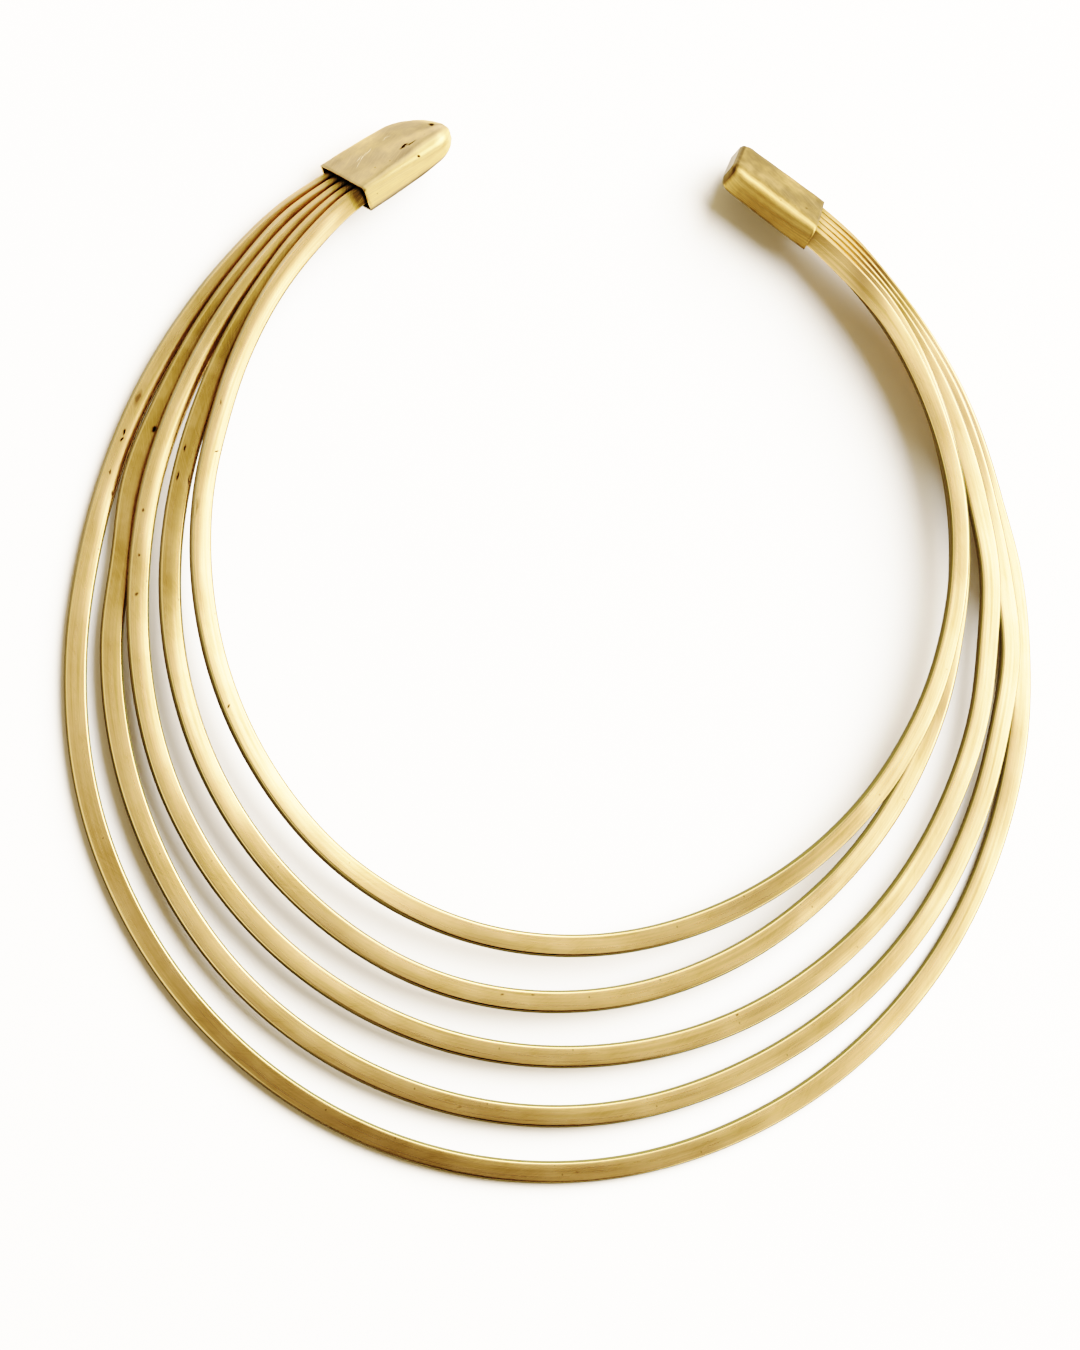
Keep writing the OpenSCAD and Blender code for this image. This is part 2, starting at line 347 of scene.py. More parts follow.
# angle from the front, then how far wear has polished the edges
WEAR = np.array([(-156, 0), (-140, 0.1), (-128, 0.4), (-100, 0.6), (-70, 1), (100, 1), (118, 0.3), (135, 0),
                 (155, 0)], float)
print("tarnish of the bars at -120 degrees:", along_table(TARNISH_AND_SHADE, -120))

# %% [markdown]
# ## Hammered forms
# The bars were flattened by hand, so each rolls a few degrees one way and the other as it goes round, and
# is a little thinner at its edges than in its middle. A roll of 5 degrees turns a mirrored window into a
# mirrored wall, so this is what makes each bar bright in one place and dull in the next. The rolls were
# chosen by comparing renders with the picture. They were not measured, and they go with this room's light:
# another room would ask for other rolls.

# %% Form tables
# angle from the front, then how much more than the solids bars 1 to 5 are rolled, degrees
LEAN = np.array([
    (-155, 0, 0, 0, 0, 0),
    (-146, 0, 0, 2, 3, 4),
    (-138, 0, 0, 4, 6, 8),
    (-130, 1, -5, 4, 4, 1),
    (-118, 5, -3, 5, -2, 1),
    (-107, 3, -1, 5, -2, 4),
    (-98, 2, -1, 0, 1, 6),
    (-90, 0, -4, -2, 0, 7),
    (-80, 3, 0, 0, 0, 3),
    (-70, 2, 3, 1, 0, 1),
    (-60, 3, -1, -3, 4, 0),
    (-50, 1, 0, 0, 5, -1),
    (-40, 4, 0, 0, 4, 0),
    (-30, 0, -1, 2, 3, 0),
    (-18, -7, -2, -2, -1, -1),
    (-8, -2, -4, -4, -3, -1),
    (0, 0, -3, -3, -1, -2),
    (10, -1, 0, -1, -1, -5),
    (18, 0, 2, -2, -2, -3),
    (30, -4, -1, 0, 0, -2),
    (40, -10, -10, -11, -4, 0),
    (50, -11, -7, -5, -2, 0),
    (60, -5, -2, 1, 2, 3),
    (70, -3, 8, 1, 1, 6),
    (80, -5, 0, 0, -3, -3),
    (90, -1, 0, 0, 0, -1),
    (100, -2, -3, -1, 3, 2),
    (112, 1, 2, 2, 7, 8),
    (122, -3, -2, 1, 1, 1),
    (130, -9, -6, -1, -1, -1),
    (136, -4, -3, -2, 0, 0),
    (142, 0, 0, 0, 0, 0),
    (154, 0, 0, 0, 0, 0)], float)
# angle from the front, then how much thinner a bar is at its edges than in its middle, mm
CROWN = np.array([(-156, 0.08), (-130, 0.13), (-100, 0.1), (-60, 0.05), (0, 0.03), (155, 0.03)], float)
# angle from the front, then how round the edges are, mm
ROUND = np.array([(-156, 0.58), (112, 0.58), (130, 0.3), (155, 0.3)], float)
# angle from the front, then how much of a bar's size is left where its end is filed down to fit the cap
FILED = np.array([(-150, 0.7), (-147.5, 1), (147.5, 1), (150, 0.7)], float)
print("roll of the bars at 40 degrees:", along_table(LEAN, 40))

# %% [markdown]
# ## Single marks
# A nick or scratch is a stretched round spot with a ragged outline. It could be cut into the mesh, but that
# takes thousands of faces for a mark under a millimetre long, so it is drawn by the material. The picture
# tells where each one is: a small function follows the line of sight through a place of the picture down to
# the metal.


# %% Where the picture shows a point
def on_plane(x, y, point, normal):
    """Where the line of sight through this place of the 1080 x 1350 picture meets a plane."""
    ray = right * ((x - NECK_PX[0]) / PX_PER_M) - up * ((y - NECK_PX[1]) / PX_PER_M) - back * DISTANCE
    start = NECK + back * DISTANCE
    return start + ray * ((point - start).dot(normal) / ray.dot(normal))


def on_bar(name, x, y):
    """Point of a bar's wide face that shows at this place of the picture."""
    rows, seen = rings[name], on_plane(x, y, NECK, Vector((0, 0, 1)))
    for _ in range(4):
        angle = math.degrees(math.atan2(seen.x - NECK.x, NECK.y - seen.y))
        row = between(rows, (angle + LEFT_END) / ARC * STEPS)
        seen = on_plane(x, y, Vector(row[:3] + row[6:9] * row[10] / 2), Vector(row[6:9]))
    return seen


LARGE_NICK_PX = (138, 398)      # where the picture shows the largest nick of bar 5
print("largest nick of bar 5, mm:", [round(c / MM, 1) for c in on_bar("bar_5", *LARGE_NICK_PX)])

# %% Spots
RAGGED_MM, RAGGED_BY_MM = 1.0, 0.5     # size of the raggedness of an outline, and how far it reaches
FULL_AT, GONE_AT = 0.5, 1.3            # shares of a mark's half size between which it fades out
MARK_HALF_DEPTH_MM = 4                 # a mark reaches this far into the metal and above it


def spots(tree, marks, seen):
    """Strength, 0 to 1, of all these marks: x, y in the picture, length, width in mm, turn, strength."""
    where = add(tree, "ShaderNodeTexCoord").outputs["Object"]
    ragged = add(tree, "ShaderNodeTexNoise", {"Vector": where, "Scale": 1 / (RAGGED_MM * MM), "Detail": 2})
    shift = add(tree, "ShaderNodeVectorMath", {0: ragged.outputs["Color"], 1: (0.5,) * 3},
                operation="SUBTRACT")
    where = add(tree, "ShaderNodeVectorMath", {0: shift.outputs[0], 1: (RAGGED_BY_MM * MM,) * 3, 2: where},
                operation="MULTIPLY_ADD").outputs[0]
    total = None
    for x, y, length, width, turn, strength in marks:
        own = add(tree, "ShaderNodeMapping",
                  {"Vector": where, "Location": tuple(seen(x, y)), "Rotation": (0, 0, math.radians(turn)),
                   "Scale": (length / 2 * MM, width / 2 * MM, MARK_HALF_DEPTH_MM * MM)},
                  vector_type="TEXTURE")
        far = add(tree, "ShaderNodeVectorMath", {0: own.outputs[0]}, operation="LENGTH")
        spot = add(tree, "ShaderNodeMapRange", {"Value": far.outputs["Value"], "From Min": GONE_AT,
                                                "From Max": FULL_AT, "To Max": strength}).outputs[0]
        total = spot if total is None else add(tree, "ShaderNodeMath", {0: total, 1: spot},
                                               operation="MAXIMUM").outputs[0]
    return total


# %% [markdown]
# ## Brushed brass
# The bars are drawn brass wire, flattened and brushed along their length, and the caps are brushed sheet.
# Brushing gives hair-fine lines that blur a mirrored window across the bar. The real lines are about 0.05
# mm wide, too fine to show, so they are drawn five or six times wider. Years of wear add slanting
# scratches, small pits a few millimetres apart, and patches of deeper gold. A picture of brass wrapped round
# the bar would repeat; a pattern worked out in millimetres never does.

# %% Brushing
# three colours, roughness, width at which a brush line is drawn (a real one is too fine to show), size of the
# patches of deeper gold, strength of the brown streaks
Finish = namedtuple("Finish", "pale deep brown rough line_mm patch_mm streaks")


def brushing(tree, place, finish):
    """Noise patterns, 0 to 1, on the lengthwise map, whose units are millimetres."""
    line, patch = finish.line_mm, finish.patch_mm
    # length and width of one mark, mm, its turn in degrees, detail and roughness of the noise
    kinds = {"lines": (line * 60, line, 0, 3, 0.6),
             "strands": (line * 80, line * 3, 0, 4, 0.6),
             "scratches": (3.5, 0.2, 26, 2, 0.5),
             "patches": (patch, patch, 0, 5, 0.6),
             "dents": (14, 6, 0, 1, 0.5)}
    found = {}
    for kind, (length, width, turn, detail, roughness) in kinds.items():
        own = add(tree, "ShaderNodeMapping", {"Vector": place, "Rotation": (0, 0, math.radians(turn)),
                                              "Scale": (length, width, 1)}, vector_type="TEXTURE")
        found[kind] = add(tree, "ShaderNodeTexNoise", {"Vector": own.outputs[0], "Scale": 1, "Detail": detail,
                                                       "Roughness": roughness}).outputs[0]
    return found


# %% [markdown]
# The colour is built like paint, a thin coat at a time: each coat has a pattern that says where it lies.
# The patina of the narrow sides is a skin of oxide, no longer metal, so it is duller and mirrors little.
# Edges polished by wear are paler and mirror more. The metal keeps the shader's own index of refraction.

# %% Coats of colour
PIT_EVERY_MM = 2.5
# the near-black colour is painted shade in and near the caps' mouths; on a cap it also darkens the lower edge
# and the right cap's tip
PIT, SOOT_AND_SHADE, PATINA_SKIN, WORN_EDGE = "5A4418", "1C170A", "4E3F1A", "F6CE92"
NICK, BRIGHT_SCRATCH = "2E200A", "FFF0C8"
PATINA_DULLS, WEAR_POLISHES = 0.25, -0.15      # added to the roughness
DENT_MM, LINE_DEPTH_MM = 0.25, 0.02            # how deep the hammer's dents and the brushed lines look


def brushed_brass(name, finish, dark, light, seen):
    """Brushed brass with dark nicks and light scratches, each where the picture shows it."""
    material, tree = new_material(name)
    place = add(tree, "ShaderNodeUVMap", uv_map="lengthwise").outputs[0]
    tarnish_and_shade, patina, worn = (add(tree, "ShaderNodeAttribute", attribute_name=kind).outputs["Fac"]
                             for kind in ("tarnish_and_shade", "patina", "worn"))
    found = brushing(tree, place, finish)
    uneven = add(tree, "ShaderNodeMapRange", {"Value": found["patches"], "From Min": 0.3, "From Max": 0.7,
                                              "To Min": 0.55, "To Max": 1.25})
    amount = add(tree, "ShaderNodeMath", {0: tarnish_and_shade, 1: uneven.outputs[0]},
                 operation="MULTIPLY", use_clamp=True)
    some = add(tree, "ShaderNodeMapRange", {"Value": found["patches"], "From Min": 0.4, "From Max": 0.65,
                                            "To Min": 0.05, "To Max": 0.28})
    cells = add(tree, "ShaderNodeTexVoronoi", {"Vector": place, "Scale": 1 / PIT_EVERY_MM})
    dull = add(tree, "ShaderNodeMapRange", {"Value": found["lines"], "From Min": 0.3, "From Max": 0.7,
                                            "To Min": finish.rough - 0.05, "To Max": finish.rough + 0.08})
    # a pattern, where in it a coat starts and where it is full, how strong it is there, and its colour
    coats = [(found["patches"], 0.35, 0.7, 1.0, finish.deep),
             # brown where a place is darkened: tarnish, and painted shade near the caps and in the valleys
             (amount.outputs[0], 0.0, 1.0, 1.0, finish.brown),
             (found["strands"], 0.5, 0.7, finish.streaks, finish.brown),
             # near black where the darkening passes 1: painted shade in the mouths of the caps
             (tarnish_and_shade, 1.0, 2.0, 1.0, SOOT_AND_SHADE),
             (found["lines"], 0.4, 0.68, 0.4, finish.brown),
             (found["scratches"], 0.5, 0.72, some.outputs[0], finish.pale),
             (found["scratches"], 0.44, 0.26, some.outputs[0], finish.brown),
             (cells.outputs["Distance"], 0.07, 0.045, 0.5, PIT)]
    if light:
        coats.append((spots(tree, light, seen), 0.0, 1.0, 1.0, BRIGHT_SCRATCH))
    if dark:
        nicks = spots(tree, dark, seen)
        coats.append((nicks, 0.0, 1.0, 1.0, NICK))
        dull = add(tree, "ShaderNodeMath", {0: dull.outputs[0], 1: nicks}, operation="MAXIMUM")
    coats += [(patina, 0.0, 1.0, 1.0, PATINA_SKIN), (worn, 0.0, 1.0, 1.0, WORN_EDGE)]
    colour = linear(finish.pale)
    for pattern, start, full, strength, coat in coats:
        share = add(tree, "ShaderNodeMapRange", {"Value": pattern, "From Min": start, "From Max": full,
                                                 "To Max": strength})
        colour = add(tree, "ShaderNodeMix", {0: share.outputs[0], 6: colour, 7: linear(coat)},
                     data_type="RGBA").outputs[2]
    for kind, change in ((patina, PATINA_DULLS), (worn, WEAR_POLISHES)):
        dull = add(tree, "ShaderNodeMath", {0: kind, 1: change, 2: dull.outputs[0]}, operation="MULTIPLY_ADD")
    bare = add(tree, "ShaderNodeMapRange", {"Value": patina, "From Min": 0.4, "From Max": 1.0,
                                            "To Min": 1.0, "To Max": 0.05})
    bump = add(tree, "ShaderNodeBump", {"Height": found["dents"], "Strength": 1.0, "Distance": DENT_MM * MM})
    bump = add(tree, "ShaderNodeBump", {"Height": found["lines"], "Strength": 0.25,
                                        "Distance": LINE_DEPTH_MM * MM, "Normal": bump.outputs[0]})
    shader = add(tree, "ShaderNodeBsdfPrincipled",
                 {"Base Color": colour, "Metallic": bare.outputs[0], "Roughness": dull.outputs[0],
                  "Specular IOR Level": 0.15, "Specular Tint": linear("FAF3E6"), "Normal": bump.outputs[0]})
    add(tree, "ShaderNodeOutputMaterial", {"Surface": shader.outputs[0]})
    return material


# %% [markdown]
# ## The marks and the bars' brass
# The nicks lie mostly on the left, where the bars knock together. The bars are satin: a mirrored window
# turns into a soft band as wide as the bar.

# %% Brass of the bars
# dark nicks, then pale scratches: x, y in the picture, length and width in mm, turn in degrees, strength
DARK = {
    "bar_1": [(221, 402, 0.9, 0.2, 80, 0.9), (217, 451, 0.7, 0.2, 20, 0.9), (196, 508, 3.0, 0.7, 78, 0.6),
              (229, 706, 0.8, 0.3, 60, 0.8)],
    "bar_2": [(185, 448, 1.2, 0.35, 75, 0.9), (178, 476, 1.4, 0.35, 80, 0.9), (189, 481, 2.4, 0.25, 85, 0.7),
              (502, 995, 0.6, 0.3, 20, 0.7), (533, 995, 0.6, 0.3, 0, 0.7)],
    "bar_3": [(143, 510, 0.6, 0.4, 70, 0.9), (139, 555, 0.5, 0.4, 80, 0.8), (137, 594, 0.7, 0.5, 60, 0.8),
              (737, 1015, 0.6, 0.3, 30, 0.7)],
    "bar_4": [(154, 429, 1.1, 0.7, 60, 1.0), (460, 1107, 0.9, 0.25, 15, 0.7)],
    "bar_5": [(138, 398, 2.6, 0.9, 68, 0.7), (124, 432, 1.0, 0.35, 70, 1.0), (122, 439, 0.9, 0.35, 60, 1.0),
              (110, 472, 0.8, 0.3, 75, 0.8), (112, 493, 0.8, 0.3, 80, 0.7), (578, 1172, 0.6, 0.25, 10, 0.7)],
    "cap_left": [(404, 146, 1.6, 0.32, 40, 1.0), (411, 143, 1.8, 0.22, 30, 0.8),
                 (420, 155, 0.5, 0.45, 0, 1.0), (432, 124, 0.9, 0.5, 10, 0.9), (425, 175, 0.8, 0.5, 30, 1.0)],
    "cap_right": [(815, 188, 0.7, 0.4, 30, 0.6), (807, 208, 0.6, 0.4, 0, 0.5), (756, 172, 1.2, 0.9, 0, 0.3)],
}
PALE = {
    "cap_left": [(368, 152, 1.6, 0.07, 52, 0.7), (363, 157, 1.9, 0.07, 54, 0.6),
                 (359, 159, 1.3, 0.07, 50, 0.6), (358, 165, 1.3, 0.07, 60, 0.5),
                 (386, 138, 1.6, 0.07, 35, 0.4)],
}
SATIN = Finish("F6C88F", "E8BA80", "9C7E46", rough=0.3, line_mm=0.3, patch_mm=7, streaks=0.5)
mat_bars = {name: brushed_brass("satin_brushed_brass_" + name, SATIN, DARK[name], [],
                                lambda x, y, name=name: on_bar(name, x, y)) for name in rings}
print("marks:", sum(len(v) for v in DARK.values()), "dark,", sum(len(v) for v in PALE.values()), "pale")

# %% [markdown]
# ## Inside the caps
# No brush reaches the inside of a cap, and little light does. It is drawn as rough sheet, nearly black, with
# soft blotches: the near black is painted shade.

# %% Insides
# the near-black colour of the inside is painted shade
INSIDE_SHADE = linear("2A2010")
BLOTCH_MM, BLOTCH_SHADE = 3, 0.6
mat_inside_shade, tree = new_material("painted_shade_inside_of_cap")
where = add(tree, "ShaderNodeTexCoord").outputs["Object"]
blotch = add(tree, "ShaderNodeTexNoise", {"Vector": where, "Scale": 1 / (BLOTCH_MM * MM), "Detail": 4})
share = add(tree, "ShaderNodeMapRange", {"Value": blotch.outputs[0], "From Min": 0.3, "From Max": 0.7})
darker = tuple(c * BLOTCH_SHADE for c in INSIDE_SHADE[:3]) + (1.0,)
colour = add(tree, "ShaderNodeMix", {0: share.outputs[0], 6: INSIDE_SHADE, 7: darker}, data_type="RGBA").outputs[2]
shader = add(tree, "ShaderNodeBsdfPrincipled", {"Base Color": colour, "Metallic": 1.0, "Roughness": 0.7})
add(tree, "ShaderNodeOutputMaterial", {"Surface": shader.outputs[0]})
print("insides:", mat_inside_shade.name)

# %% [markdown]
# ## A skin over rings
# Bars and caps are both tubes: rings of points, one after the other, joined by a skin of four-cornered
# faces and closed at both ends. A curve with a bevel would be quicker, but its section can't change along
# the way as these do. The skin also carries the lengthwise map, in real millimetres, so that one brushing
# pattern has one scale on every piece.


# %% Skin
def skin(name, loops, lengths, around, tarnish_and_shade, flat_ring=-1):
    """Mesh of a closed tube through these loops of points; one ring of faces may stay flat."""
    rounds, n = len(loops) - 1, len(loops[0])
    faces, maps = [], []
    for s in range(rounds):
        for j in range(n):
            k = (j + 1) % n
            faces.append((s * n + j, s * n + k, (s + 1) * n + k, (s + 1) * n + j))
            maps += [(lengths[s][j], around[j]), (lengths[s][k], around[j + 1]),
                     (lengths[s + 1][k], around[j + 1]), (lengths[s + 1][j], around[j])]
    faces += [tuple(range(n - 1, -1, -1)), tuple(rounds * n + j for j in range(n))]
    maps += [(0, 0)] * (2 * n)
    mesh = bpy.data.meshes.new(name)
    mesh.from_pydata(np.concatenate(loops).tolist(), [], faces)
    mesh.uv_layers.new(name="lengthwise").data.foreach_set("uv", np.array(maps).ravel())
    mesh.attributes.new("tarnish_and_shade", "FLOAT", "POINT").data.foreach_set("value", np.concatenate(tarnish_and_shade))
    smooth = np.append(np.repeat(np.arange(rounds) != flat_ring, n), [False, False])
    mesh.polygons.foreach_set("use_smooth", smooth)
    return mesh


def put_in_place(mesh, node):
    """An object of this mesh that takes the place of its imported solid."""
    thing = bpy.data.objects.new(mesh.name, mesh)
    scene.collection.objects.link(thing)
    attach(thing, "root")
    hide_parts(node)
    print(thing.name, len(mesh.polygons), "faces")


# %% [markdown]
# ## Finer bars
# A flattened wire has rounded edges and a slight crown. The crown slides a highlight from one edge to the
# other as the bar turns. The wide upper face is brushed, the narrow sides and the underside are dull, and
# between them runs a thin stretch of each upper edge that wear has polished.

# %% Bar sections
DULL_BELOW, WORN_BELOW = 58, 80     # how far a dull or worn stretch of an edge leans from the flank, degrees
TURNS, TOP_CORNERS = 8, 9           # stretches in a rounded edge, corners over the upper face


def bar_section(w, t, r, crown):
    """Corners of a crowned section, and which stretches are dull and outer, dull elsewhere, or worn."""
    top = [(x * (w / 2 - r), t / 2 - crown * x * x) for x in np.linspace(1, -1, TOP_CORNERS)]
    arcs = []
    for x, y, start in ((1, 1, 0), (-1, 1, 90), (-1, -1, 180), (1, -1, 270)):
        low = crown if y > 0 else 0
        turned = [math.radians(start + 90 * i / TURNS) for i in range(TURNS + 1)]
        arcs.append([(x * (w / 2 - r) + r * math.cos(a), y * (t / 2 - r) - low + r * math.sin(a))
                     for a in turned])
    points = np.array(arcs[0][:-1] + top + arcs[1][1:] + arcs[2] + arcs[3])
    step = np.roll(points, -1, 0) - points
    lean = np.degrees(np.arcsin(np.clip(-step[:, 0] / np.hypot(*step.T), -1, 1)))
    dull, outer = lean < DULL_BELOW, points[:, 0] > w / 2 - r
    return points, (dull & outer) * 1.0, (dull & ~outer) * 1.0, (~dull & (lean < WORN_BELOW)) * 1.0


print("corners in a bar's section:", len(bar_section(3.5, 1.45, 0.5, 0.05)[0]))

# %% Bars
PER_RING = 6                             # fine rings for each ring of the solid
# the valley's darkening is painted shade with some grime; it fades out between these shares of the width
VALLEY_FULL, VALLEY_END = 0.15, 0.45     # shares of the width, outwards of its middle, where dirt fades out


def fine_bar(name):
    """A smooth bar through the rings of its solid, with maps of length, of wear and of painted shade."""
    rows, k = rings[name], int(name[-1])
    rounds = (len(rows) - 1) * PER_RING
    angles = [s / rounds * ARC - LEFT_END for s in range(rounds + 1)]
    loops, walked, tarnish_and_shade = [], [0.0], []
    for s, angle in enumerate(angles):
        row = between(rows, s / PER_RING)
        middle, width, thick = row[:3], row[3:6], row[6:9]
        width, thick = width / np.linalg.norm(width), thick / np.linalg.norm(thick)
        if s:
            walked.append(walked[-1] + np.linalg.norm(middle - last))
        last = middle
        lean = math.radians(along_table(LEAN, angle)[k - 1])
        width, thick = (width * math.cos(lean) + thick * math.sin(lean),
                        thick * math.cos(lean) - width * math.sin(lean))
        crown, edge, filed = (along_table(table, angle)[0] for table in (CROWN, ROUND, FILED))
        section, outer, dull, worn = bar_section(row[9] * filed, row[10] * filed, edge * MM * filed,
                                                 crown * MM)
        loops.append(middle + section[:, :1] * width + section[:, 1:] * thick)
        # beside its inner neighbour a bar is painted darker: painted shade of the valley, with some grime
        beside = np.clip((VALLEY_END - section[:, 0] / row[9]) / (VALLEY_END - VALLEY_FULL), 0, 1)
        tarnish_and_shade.append(along_table(TARNISH_AND_SHADE, angle)[k - 1] + (k > 1) * beside * along_table(VALLEY_SHADE_AND_DIRT, angle)[0])
    # the stretches are dull or worn in the same places all along, so the last section tells them for the bar
    around = np.append(0, np.cumsum(np.linalg.norm(np.roll(section, -1, 0) - section, axis=1))) / MM
    lengths = np.repeat(np.array(walked)[:, None] / MM, len(section), axis=1)
    patina, polish = [], []
    for angle in angles[:-1]:
        grown = along_table(PATINA, angle)
        patina += list(outer * grown[0] + dull * grown[min(k, 2)])
        polish += list(worn * along_table(WEAR, angle)[0])
    mesh = skin(name + "_brushed", loops, lengths, around, tarnish_and_shade)
    mesh.attributes.new("patina", "FLOAT", "FACE").data.foreach_set("value", patina + [1, 1])
    mesh.attributes.new("worn", "FLOAT", "FACE").data.foreach_set("value", polish + [0, 0])
    mesh.materials.append(mat_bars[name])
    put_in_place(mesh, name)


for name in rings:
    fine_bar(name)

# %% [markdown]
# ## Caps
# Each cap is a strip of sheet brass folded round the bundle like an envelope, so one long edge is a soft
# bend and the others are crisp. It is closed over at the tip and open at the mouth, where the sheet's edge
# shows and the inside is dark. The rows below are the solid's own, with a softer fold.

# %% Cap forms
SHEET = 0.3           # thickness of the sheet that shows at the mouth, mm
FACE_UP = 2.4         # how far the flat face lies above the middle of a cap, mm
# share of the length, outer and inner edge across the stack, low and high edge, radius of edges, of the fold
LEFT_ROWS = np.array([
    (0, -4.9, 4.9, -2.5, 2.5, 0.4, 0.7),
    (0.22, -4.8, 4.9, -2.5, 2.5, 0.4, 1.0),
    (0.44, -4.6, 4.85, -2.5, 2.5, 0.45, 1.3),
    (0.6, -4.35, 4.8, -2.45, 2.45, 0.5, 1.6),
    (0.72, -3.6, 4.7, -2.4, 2.4, 0.7, 1.8),
    (0.81, -2.6, 4.6, -2.35, 2.3, 0.9, 1.8),
    (0.87, -1.7, 4.4, -2.2, 2.2, 1.1, 1.8),
    (0.93, -0.6, 3.9, -1.9, 1.9, 1.2, 1.7),
    (0.98, 0.5, 3.0, -1.4, 1.4, 1.0, 1.1),
    (1, 1.2, 2.2, -0.7, 0.7, 0.4, 0.4)])
RIGHT_ROWS = np.array([
    (0, -4.5, 4.5, -2.2, 2.2, 0.35, 1.8),
    (0.2, -4.5, 4.5, -2.2, 2.2, 0.35, 2.1),
    (0.56, -4.5, 4.5, -2.15, 2.15, 0.35, 2.3),
    (0.82, -4.45, 4.4, -2.1, 2.1, 0.4, 2.2),
    (0.91, -4.45, 4.2, -2.1, 2.1, 0.4, 2.0),
    (0.965, -4.4, 3.7, -2.05, 1.9, 0.6, 1.7),
    (0.985, -4.3, 3.2, -1.7, 1.7, 0.5, 1.3),
    (1, -4.1, 2.7, -1.3, 1.3, 0.4, 0.9)])
# angle of the mouth from the front, its radius and height in mm, turn and roll in degrees, which side of the
# mouth the tip is on, length in mm, slants of the mouth, how far the darker band reaches up from the lower
# edge in mm, how dark the tip is, rows
Cap = namedtuple("Cap", "angle radius height turn roll side length slants dirt_mm tip rows")
CAPS = {
    "cap_left": Cap(-146.2, 69.4, 5.56, 0.8, 45, -1, 18.4, (0.2, 0), 1.0, 0, LEFT_ROWS),
    "cap_right": Cap(146.1, 65.4, 5.71, -0.7, 45, 1, 16.5, (-0.05, 0.14), 0.6, 1.6, RIGHT_ROWS),
}


def cap_place(name):
    """Where a cap is: its mouth's middle, x to the tip, y across the stack, z across the width."""
    cap = CAPS[name]
    q = math.radians(cap.angle)
    across = cap.radius * MM
    mouth = Vector((NECK.x + across * math.sin(q), NECK.y - across * math.cos(q), cap.height * MM))
    return (Matrix.Translation(mouth)
            @ Matrix.Rotation(q + math.radians(cap.turn), 4, "Z") @ Matrix.Diagonal((cap.side, 1, 1, 1))
            @ Matrix.Rotation(math.radians(90 - cap.roll), 4, "X"))


def on_cap(name, x, y):
    """Point of a cap's flat face that shows at this place of the picture."""
    place = cap_place(name)
    return on_plane(x, y, place @ Vector((0, 0, FACE_UP * MM)), place.to_3x3() @ Vector((0, 0, 1)))


print("first nick of the left cap, mm:",
      [round(c / MM, 1) for c in on_cap("cap_left", *DARK["cap_left"][0][:2])])

# %% [markdown]
# ## The caps' brass
# The caps are rougher than the bars, perhaps from being held there. A mirrored window spreads over the
# whole face, which the eye reads as matt, and handling has turned the flat faces khaki.

# %% Brass of the caps
MATT = {
    "cap_left": Finish("F4CC84", "E2BA78", "9A8466", rough=0.34, line_mm=0.25, patch_mm=6, streaks=0.2),
    # the right cap is the same brass as the left, given darker colours: painted shade
    "cap_right": Finish("E4BA78", "CCA060", "645234", rough=0.34, line_mm=0.25, patch_mm=6, streaks=0.2),
}
mat_caps = {name: brushed_brass("matt_brushed_brass_" + name, MATT[name], DARK[name], PALE.get(name, []),
                                lambda x, y, name=name: on_cap(name, x, y)) for name in CAPS}
print("cap brass:", [m.name for m in mat_caps.values()])

# %% [markdown]
# ## Rings of a cap
# Seen along its length a cap is a box with three crisp corners and one soft one, the fold. Its flats are
# divided too, because a mallet leaves sheet slightly wavy and the waves need points to show on. Each point
# also gets how dark it is painted: khaki on the flat face, darker along the lower edge. Painting that by hand
# would work as well, but here a change of shape carries its darkening along.


# %% Cap sections
def cap_section(a0, a1, b0, b1, r, f, turns=6, parts=8):
    """Ring of a folded box: radius f at the fold, r elsewhere, with the flats divided into parts."""
    corners = []
    for x, y, sx, sy, radius, start in ((a1, b1, 1, 1, f, 0), (a0, b1, -1, 1, r, 90),
                                        (a0, b0, -1, -1, r, 180), (a1, b0, 1, -1, r, 270)):
        turned = [math.radians(start + 90 * i / turns) for i in range(turns + 1)]
        corners.append(np.array([(x + radius * (math.cos(a) - sx), y + radius * (math.sin(a) - sy))
                                 for a in turned]))
    out = []
    for arc, following in zip(corners, corners[1:] + corners[:1]):
        out.append(arc)
        out.append(arc[-1] + (following[0] - arc[-1]) * np.linspace(0, 1, parts + 1)[1:-1, None])
    return np.concatenate(out)


SLANT_SHARE = 0.44                # share of the length over which the slant of the mouth fades
TIGHTEST = 0.1                    # smallest radius of a corner inside, mm
WAVE, WAVY_MM = 0.035, 0.3        # how far the mallet pushed the flat face in and out, how far down it did
KHAKI_MM = 0.35                   # how far down from the flat face its khaki reaches
# the lower edge of a cap is painted darker: how dark, and how softly that darker band ends
LOWER_EDGE_DARK, LOWER_EDGE_FADE_MM = 1.9, 0.5     # tarnish where dirt lies, and how softly the dirt ends
TIP_FROM, TIP_FADE = 0.93, 0.04   # shares of the length: where the tip's tarnish starts, how fast it grows


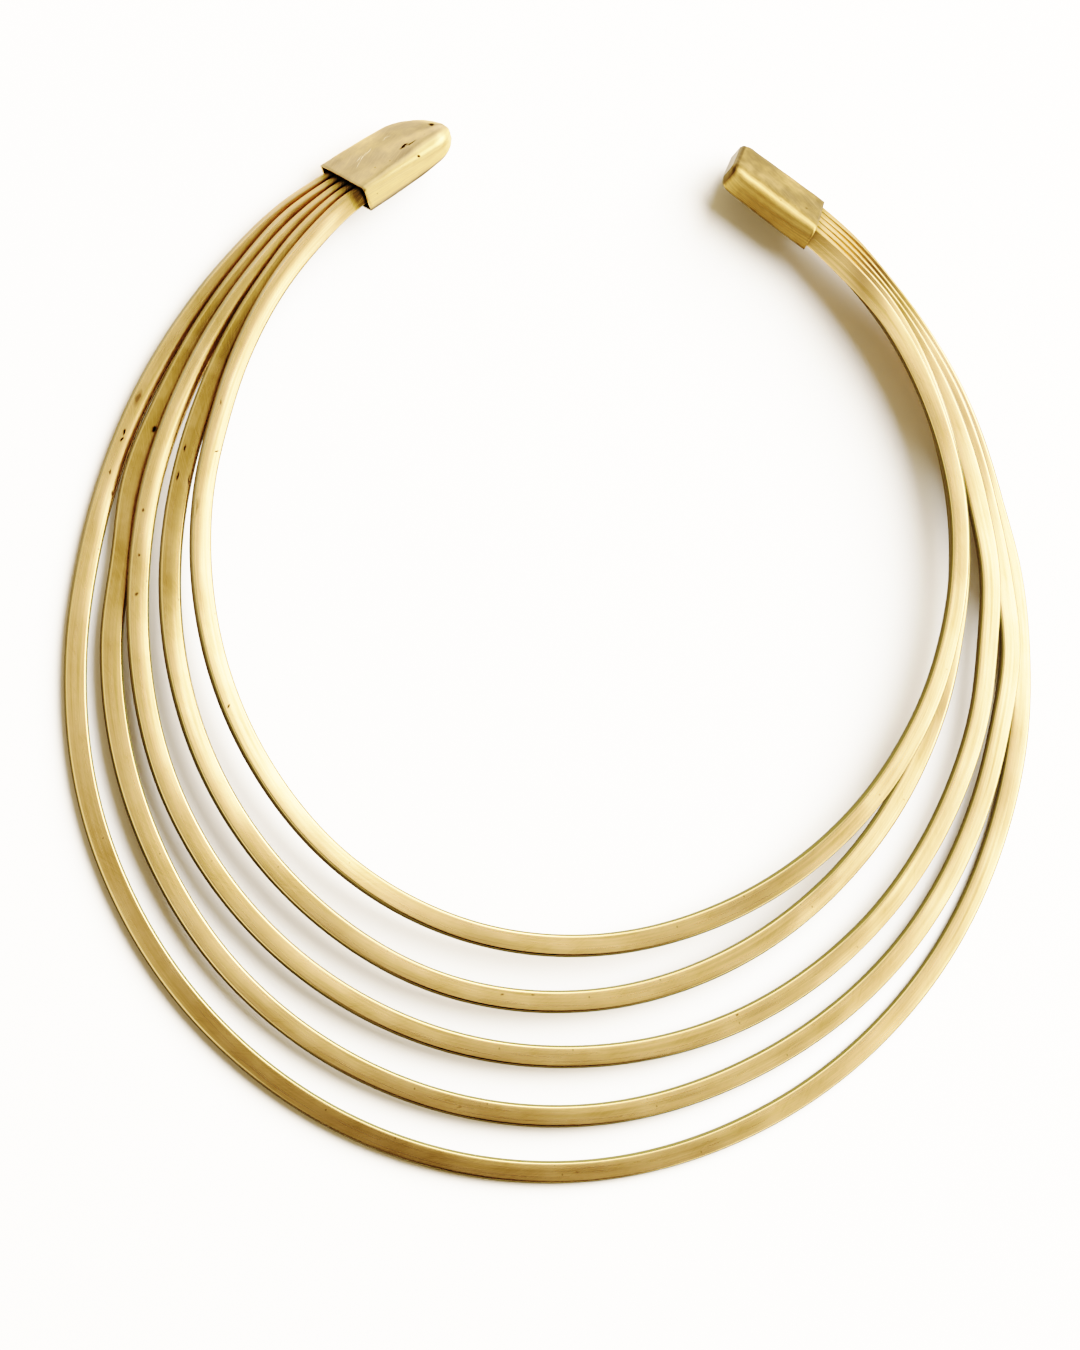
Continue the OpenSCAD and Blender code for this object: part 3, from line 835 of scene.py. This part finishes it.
def cap_ring(cap, share, inset):
    """Points of the ring at this share of a cap's length, inset from its outside, and how much each is
    darkened.
    """
    rows = cap.rows
    i = min(np.searchsorted(rows[:, 0], share, side="right") - 1, len(rows) - 2)
    u = i + (share - rows[i, 0]) / (rows[i + 1, 0] - rows[i, 0])
    a0, a1, b0, b1, r, f = between(rows, u)[1:]
    sec = cap_section(a0 + inset, a1 - inset, b0 + inset, b1 - inset,
                      max(r - inset, TIGHTEST), max(f - inset, TIGHTEST))
    fade = max(0.0, 1 - share / SLANT_SHARE)
    x = share * (cap.length - inset) + fade * (cap.slants[0] * sec[:, 0] + cap.slants[1] * sec[:, 1])
    wave = WAVE * np.sin(0.9 * x + 0.8 * sec[:, 0]) * np.sin(0.7 * sec[:, 0] - 0.5 * x) * (inset == 0)
    # the flat face has gone khaki, the lower edge is painted darker, and the right cap's tip is dull
    flat = np.clip(1 - (b1 - inset - sec[:, 1]) / KHAKI_MM, 0, 1)
    lower_edge_dark = np.clip((b0 + inset + cap.dirt_mm - sec[:, 1]) / LOWER_EDGE_FADE_MM, 0, 1) * LOWER_EDGE_DARK
    tip = np.clip((share - TIP_FROM) / TIP_FADE, 0, 1) * cap.tip
    points = np.column_stack([x, sec[:, 0], sec[:, 1] - wave * (sec[:, 1] > b1 - WAVY_MM)])
    return points, np.maximum(np.maximum(flat, lower_edge_dark), tip)


print("corners in a cap's ring:", len(cap_ring(CAPS["cap_left"], 0.5, 0)[0]))

# %% Cap shapes
OUTER_RINGS, INNER_RINGS, INNER_DEPTH = 64, 12, 0.7     # the inside is drawn to this share of the length


def fine_cap(name):
    """A cap of thin sheet: its outside from the tip to the mouth, then its inside from the mouth inward."""
    cap, place = CAPS[name], cap_place(name)
    outside = [cap_ring(cap, share, 0) for share in 1 - np.linspace(0, 1, OUTER_RINGS + 1) ** 1.5]
    inside = [cap_ring(cap, share, SHEET) for share in np.linspace(0, INNER_DEPTH, INNER_RINGS)]
    loops, tarnish_and_shade = zip(*outside, *inside)
    mouth = loops[OUTER_RINGS]
    around = np.append(0, np.cumsum(np.linalg.norm(np.roll(mouth, -1, 0) - mouth, axis=1)))
    placed = [np.array([place @ Vector(p * MM) for p in loop]) for loop in loops]
    mesh = skin(name + "_sheet", placed, [loop[:, 0] for loop in loops], around, tarnish_and_shade, OUTER_RINGS)
    dark_ring = np.repeat(np.arange(len(loops) - 1) > OUTER_RINGS, len(mouth))
    mesh.polygons.foreach_set("material_index", np.append(dark_ring, [False, True]).astype(int))
    mesh.materials.append(mat_caps[name])
    mesh.materials.append(mat_inside_shade)
    if cap.side < 0:
        mesh.flip_normals()
    put_in_place(mesh, name)


for name in CAPS:
    fine_cap(name)
